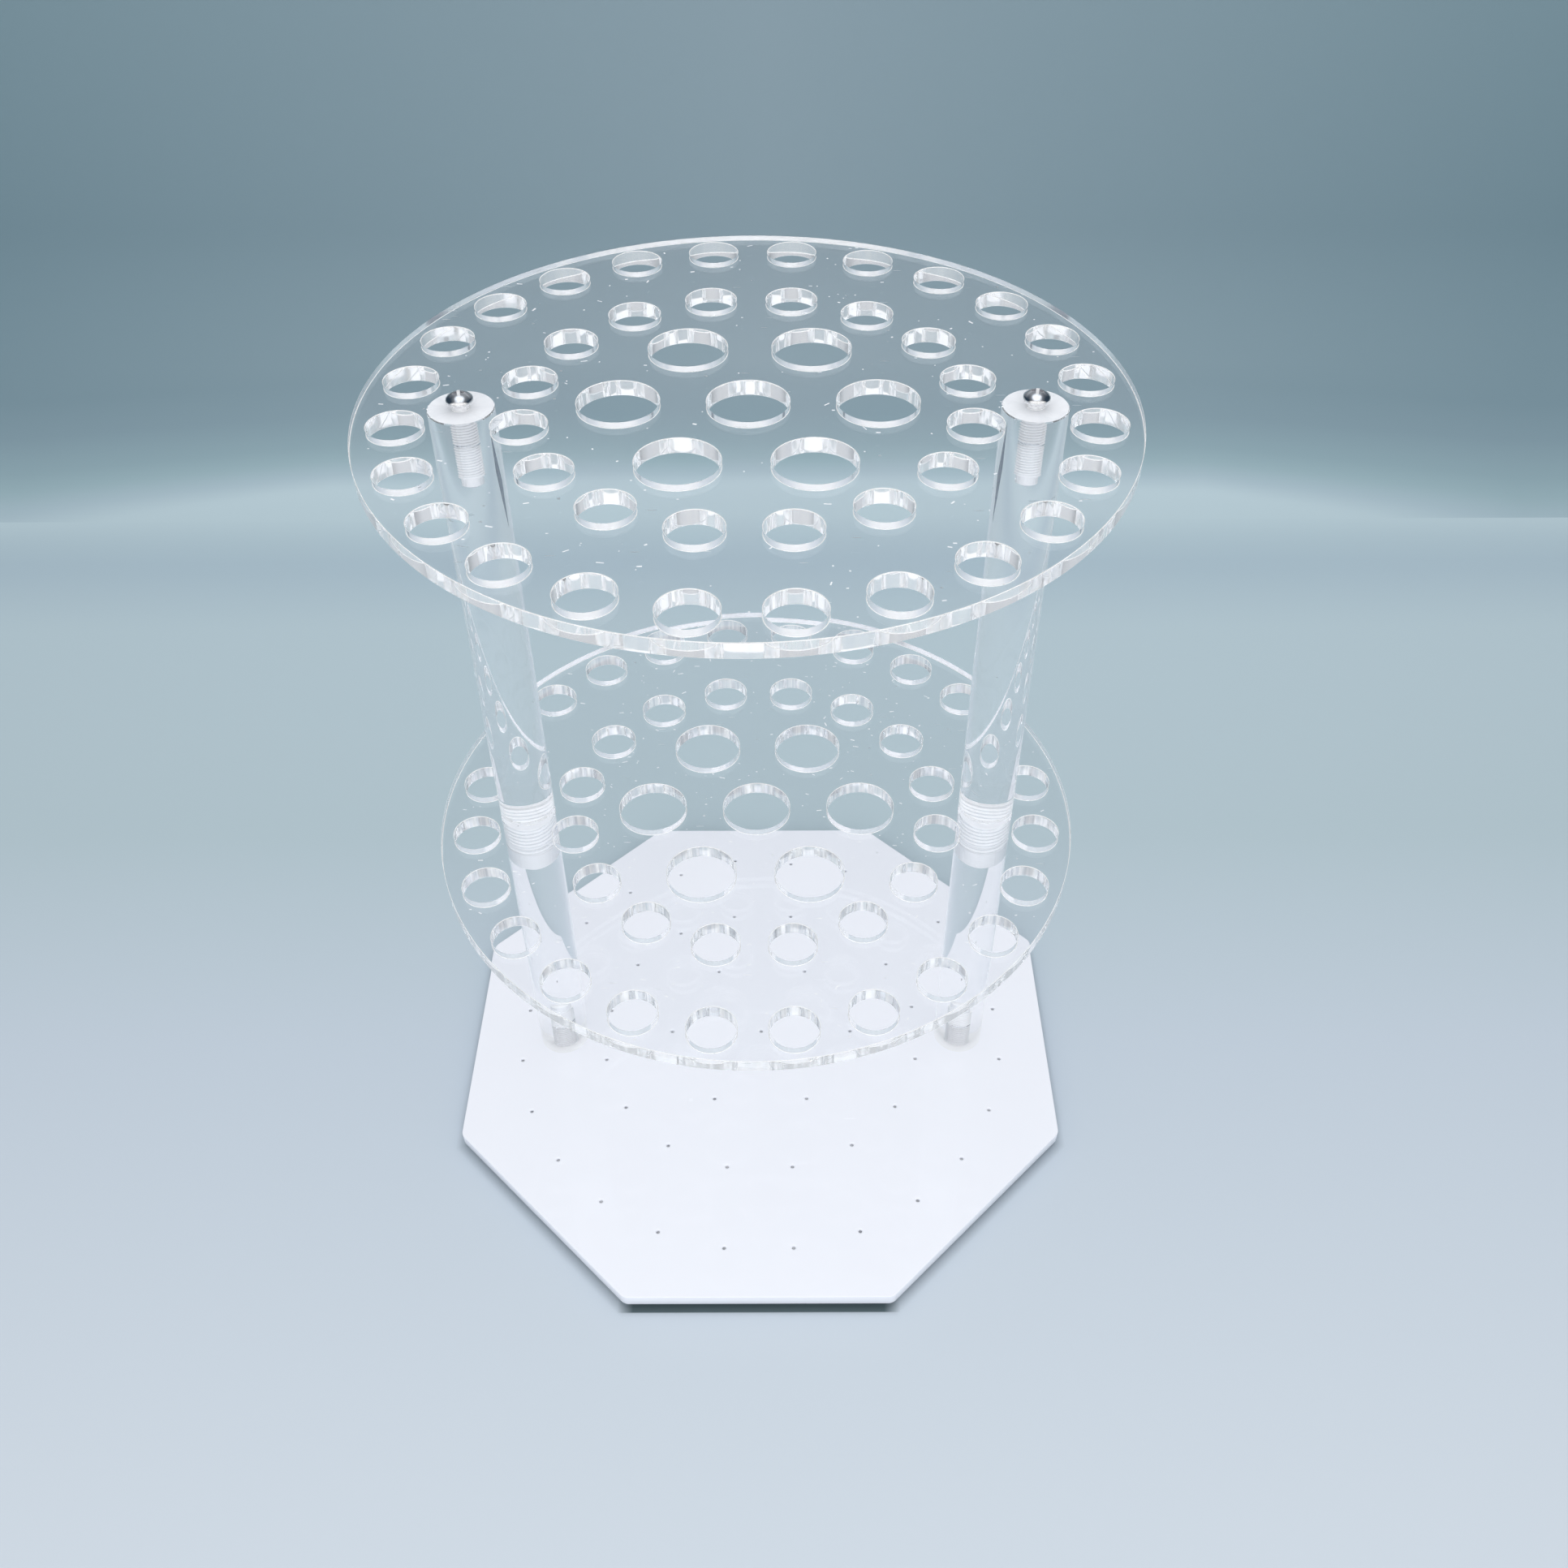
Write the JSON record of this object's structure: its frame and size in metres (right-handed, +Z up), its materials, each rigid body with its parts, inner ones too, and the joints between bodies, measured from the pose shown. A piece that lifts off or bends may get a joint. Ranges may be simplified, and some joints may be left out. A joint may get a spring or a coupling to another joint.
{
  "type": "round pipette stand",
  "caption": "Round tiered rack: clear discs with aligned rings of holes, carried on clear rods over a white octagonal base, to hold pipettes upright.",
  "frame": {"origin": "on the table, under the centre of the base", "axes": "+Z up along the stand's axis, +X to the right through both rods, -Y towards the front"},
  "size_m": [0.2434, 0.2434, 0.3141],
  "materials": {
    "opal_base": "opaque white sheet, polished faces",
    "clear_disc": "clear cast acrylic sheet, laser-cut edges",
    "clear_rod": "clear acrylic rod, sawn and turned ends",
    "screw_steel": "bright plated screws",
    "foot_rubber": "black stick-on bumpers"
  },
  "bodies": {
    "root": {"base_plate": "opal_base", "foot_front_left": "foot_rubber", "foot_front_right": "foot_rubber", "foot_back_left": "foot_rubber", "foot_back_right": "foot_rubber", "base_screw_left": "screw_steel", "base_screw_right": "screw_steel", "lower_rod_left": "clear_rod", "lower_rod_right": "clear_rod", "lower_disc": "clear_disc", "upper_rod_left": "clear_rod", "upper_rod_right": "clear_rod", "upper_disc": "clear_disc", "top_screw_left": "screw_steel", "top_screw_right": "screw_steel"}
  },
  "joints": []
}
